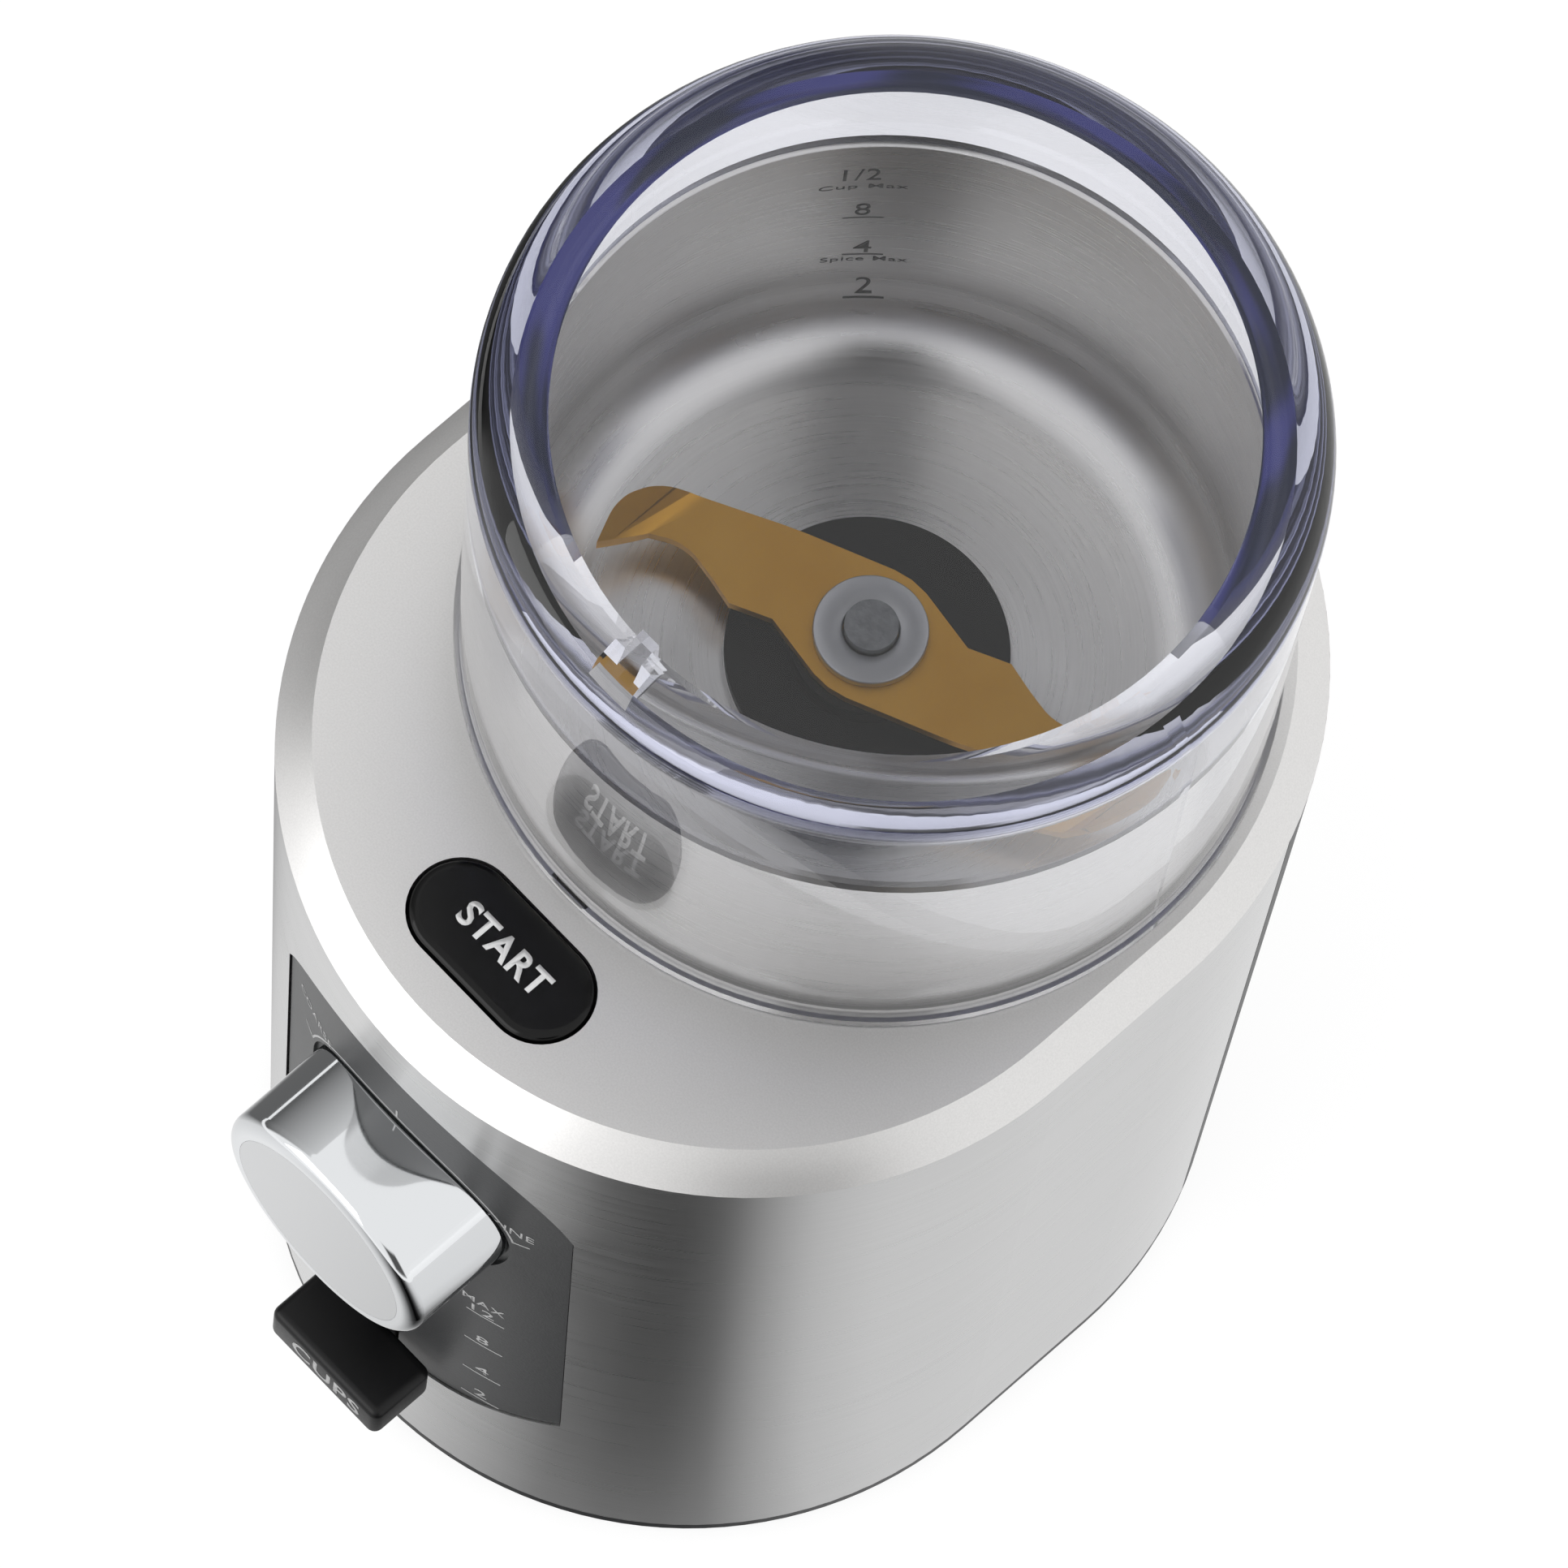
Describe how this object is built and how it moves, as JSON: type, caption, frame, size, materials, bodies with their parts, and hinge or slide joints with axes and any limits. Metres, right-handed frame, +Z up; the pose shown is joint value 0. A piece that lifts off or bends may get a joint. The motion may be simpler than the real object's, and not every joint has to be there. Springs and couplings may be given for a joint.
{
  "type": "electric spice grinder",
  "caption": "Upright electric blade grinder with a lift-out steel bowl under a clear lid, a START button, a grind knob and a cups slider on a tapered body.",
  "frame": {"origin": "on the table, under the middle of the part's bounding box", "axes": "+Z up, -Y is the front with the knob and slider, and +X is to the right for someone who faces the controls"},
  "size_m": [0.112, 0.144, 0.2105],
  "materials": {
    "black_abs": "fine matt",
    "frame_abs": "matt",
    "rubber": "matt",
    "zinc_steel": "zinc plated",
    "brushed_steel": "horizontal grain",
    "bowl_steel": "turned grain",
    "silver_paint": "satin silver paint on moulded plastic",
    "panel_plastic": "fine texture",
    "board": "solder mask",
    "component_plastic": "moulded",
    "plunger_plastic": "moulded",
    "lamination": "stacked sheet",
    "copper_wire": "enamelled",
    "alloy": "cast",
    "brass": "stamped",
    "carbon": "pressed",
    "copper": "turned",
    "fan_plastic": "moulded",
    "coupling_plastic": "moulded",
    "gloss_black": "gloss",
    "chrome": "polished",
    "satin_disc": "spun satin",
    "slider_black": "satin",
    "bronze": "sintered",
    "gold_blade": "gold coloured coating on steel",
    "clear_lid": "clear tinted plastic"
  },
  "bodies": {
    "housing": {"base_plate": "black_abs", "rubber_feet": "rubber", "base_screws": "zinc_steel", "steel_wrap": "brushed_steel", "rear_housing": "black_abs", "cord_grommet": "rubber", "inner_frame": "frame_abs", "top_cover": "silver_paint", "control_panel": "panel_plastic", "control_board": "board", "grind_potentiometer": "component_plastic", "cups_potentiometer": "component_plastic", "start_board": "board", "start_switch": "component_plastic", "lid_switch": "component_plastic", "motor_stator": "lamination", "field_coils": "copper_wire", "motor_top_bracket": "alloy", "motor_bottom_bracket": "alloy", "motor_bearings": "zinc_steel", "brush_holders": "brass", "carbon_brushes": "carbon", "motor_bushes": "rubber", "motor_screws": "zinc_steel"},
    "rotor": {"motor_shaft": "zinc_steel", "rotor_core": "lamination", "rotor_windings": "copper_wire", "commutator": "copper", "cooling_fan": "fan_plastic", "drive_coupling": "coupling_plastic"},
    "start": {"start_button": "gloss_black", "switch_plunger": "plunger_plastic"},
    "knob": {"knob_body": "chrome", "knob_face": "satin_disc", "knob_shaft": "zinc_steel"},
    "cups": {"cups_lever": "slider_black", "slider_carriage": "frame_abs"},
    "bowl": {"grinding_bowl": "bowl_steel", "bowl_base": "black_abs", "blade_bush": "bronze", "floor_seal": "rubber"},
    "cutter": {"blade": "gold_blade", "blade_washer": "zinc_steel", "blade_shaft": "zinc_steel", "bowl_coupling": "coupling_plastic"},
    "lid": {"lid": "clear_lid"}
  },
  "joints": [
    {"name": "bowl_lift", "type": "slide", "parent": "housing", "child": "bowl", "axis": [0, 0, 1], "range_m": [0, 0.08]},
    {"name": "lid_lift", "type": "slide", "parent": "bowl", "child": "lid", "axis": [0, 0, 1], "range_m": [0, 0.07]},
    {"name": "motor_spin", "type": "hinge", "parent": "housing", "child": "rotor", "pos_m": [0, 0.016, 0.06], "axis": [0, 0, 1], "continuous": true},
    {"name": "blade_spin", "type": "hinge", "parent": "bowl", "child": "cutter", "pos_m": [0, 0.016, 0.138], "axis": [0, 0, 1], "continuous": true},
    {"name": "start_press", "type": "slide", "parent": "housing", "child": "start", "axis": [0, 0, -1], "range_m": [0, 0.001], "stiffness_N_per_m": 800, "springref_m": -0.002},
    {"name": "grind_turn", "type": "hinge", "parent": "housing", "child": "knob", "pos_m": [0, -0.064, 0.0923], "axis": [0, -1, 0], "range_deg": [-80, 80]},
    {"name": "cups_slide", "type": "slide", "parent": "housing", "child": "cups", "axis": [0, 0, 1], "range_m": [0, 0.035]}
  ],
  "couplings": [
    {"joint": "blade_spin", "follows": "motor_spin", "ratio": 1}
  ]
}
